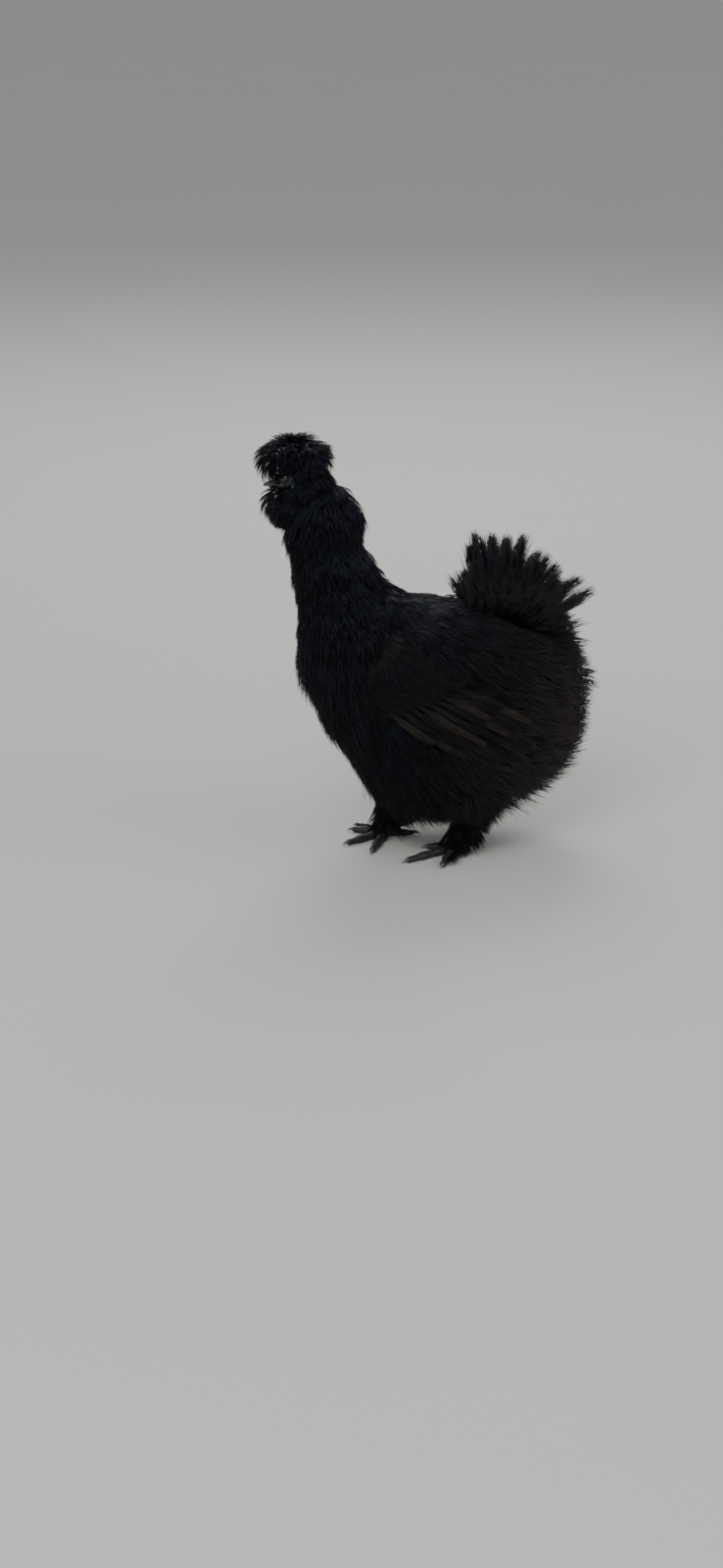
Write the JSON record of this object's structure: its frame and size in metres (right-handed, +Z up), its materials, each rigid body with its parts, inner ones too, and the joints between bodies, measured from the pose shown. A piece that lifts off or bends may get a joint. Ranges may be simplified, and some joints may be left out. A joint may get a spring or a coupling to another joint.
{
  "type": "silkie chicken",
  "caption": "Black bearded silkie hen, life-size still model in mid stride, with pom crest, muffs, fluffy coat, ragged upright tail and feathered five-toed feet.",
  "frame": {"origin": "on the floor, under the middle of the bird's outer box", "axes": "+Z up; the hen heads towards -X, its left side is towards -Y"},
  "size_m": [0.2668, 0.1594, 0.3315],
  "materials": {
    "plumage": "soft dull black down with a faint blue cast",
    "rear_fluff": "loose brown-black down, greyer at the tips",
    "face": "dark mulberry bare skin",
    "comb": "dark mulberry, finely pebbled",
    "earlobe": "muted turquoise, soft",
    "beak": "slate grey horn, satin",
    "claw": "slate grey horn, satin",
    "leg_skin": "slate black scaly skin",
    "eye": "near-black brown, wet gloss"
  },
  "bodies": {
    "root": {"eye_left": "eye", "earlobe_left": "earlobe", "wattle_left": "comb", "eye_right": "eye", "earlobe_right": "earlobe", "wattle_right": "comb", "beak_upper": "beak", "beak_lower": "beak", "comb": "comb", "head": "face", "crest": "plumage", "beard": "plumage", "neck": "plumage", "wing_left": "plumage", "wing_right": "plumage", "tail": "rear_fluff", "torso": "plumage", "rump": "rear_fluff", "thigh_left": "rear_fluff", "shank_left": "leg_skin", "claw_left_1": "claw", "claw_left_2": "claw", "claw_left_3": "claw", "claw_left_4": "claw", "claw_left_5": "claw", "foot_left": "leg_skin", "thigh_right": "rear_fluff", "shank_right": "leg_skin", "claw_right_1": "claw", "claw_right_2": "claw", "claw_right_3": "claw", "claw_right_4": "claw", "claw_right_5": "claw", "foot_right": "leg_skin"}
  },
  "joints": []
}
